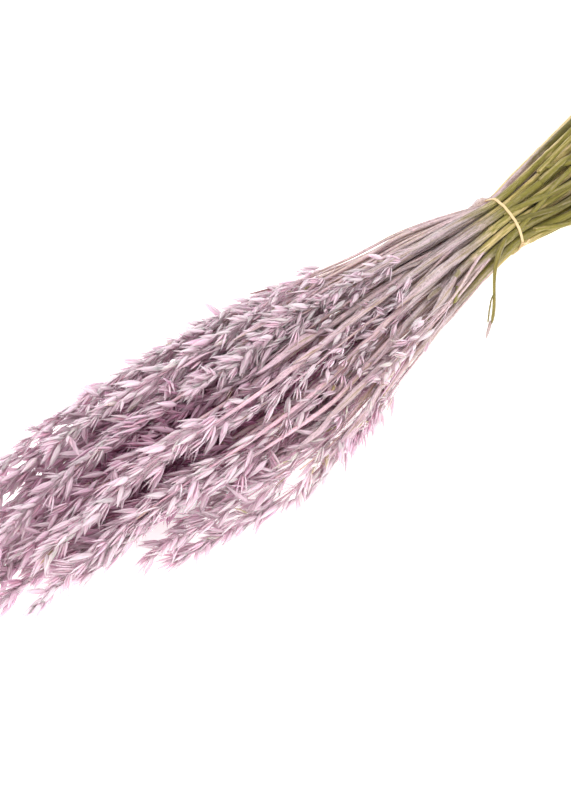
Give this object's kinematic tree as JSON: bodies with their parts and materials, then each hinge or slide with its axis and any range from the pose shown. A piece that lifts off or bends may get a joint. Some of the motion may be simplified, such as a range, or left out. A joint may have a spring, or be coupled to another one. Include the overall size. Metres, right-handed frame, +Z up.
{
  "type": "dried oats bundle",
  "caption": "Bunch of dried, dyed oat stems with papery heads and straw leaves, held by one thin elastic band and lying on its side.",
  "frame": {"origin": "on the surface that the bunch lies on, under the middle of its box", "axes": "+X runs along the bunch from the heads to the cut ends of the stems, +Z is up, +Y is across it"},
  "size_m": [0.6998, 0.1744, 0.1038],
  "materials": {
    "dyed_straw": "matt, powdery, faintly ribbed",
    "elastic": "satin"
  },
  "bodies": {
    "root": {"oat_stem_01": "dyed_straw", "oat_stem_02": "dyed_straw", "oat_stem_03": "dyed_straw", "oat_stem_04": "dyed_straw", "oat_stem_05": "dyed_straw", "oat_stem_06": "dyed_straw", "oat_stem_07": "dyed_straw", "oat_stem_08": "dyed_straw", "oat_stem_09": "dyed_straw", "oat_stem_10": "dyed_straw", "oat_stem_11": "dyed_straw", "oat_stem_12": "dyed_straw", "oat_stem_13": "dyed_straw", "oat_stem_14": "dyed_straw", "oat_stem_15": "dyed_straw", "oat_stem_16": "dyed_straw", "oat_stem_17": "dyed_straw", "oat_stem_18": "dyed_straw", "oat_stem_19": "dyed_straw", "oat_stem_20": "dyed_straw", "oat_stem_21": "dyed_straw", "oat_stem_22": "dyed_straw", "oat_stem_23": "dyed_straw", "oat_stem_24": "dyed_straw", "oat_stem_25": "dyed_straw", "oat_stem_26": "dyed_straw", "oat_stem_27": "dyed_straw", "oat_stem_28": "dyed_straw", "oat_stem_29": "dyed_straw", "oat_stem_30": "dyed_straw", "oat_stem_31": "dyed_straw", "oat_stem_32": "dyed_straw", "oat_stem_33": "dyed_straw", "oat_stem_34": "dyed_straw", "oat_stem_35": "dyed_straw", "oat_stem_36": "dyed_straw", "oat_stem_37": "dyed_straw", "oat_stem_38": "dyed_straw", "oat_stem_39": "dyed_straw", "oat_stem_40": "dyed_straw", "oat_stem_41": "dyed_straw", "oat_stem_42": "dyed_straw", "oat_stem_43": "dyed_straw", "oat_stem_44": "dyed_straw", "oat_stem_45": "dyed_straw", "oat_stem_46": "dyed_straw", "oat_stem_47": "dyed_straw", "oat_stem_48": "dyed_straw", "elastic_band": "elastic"}
  },
  "joints": []
}
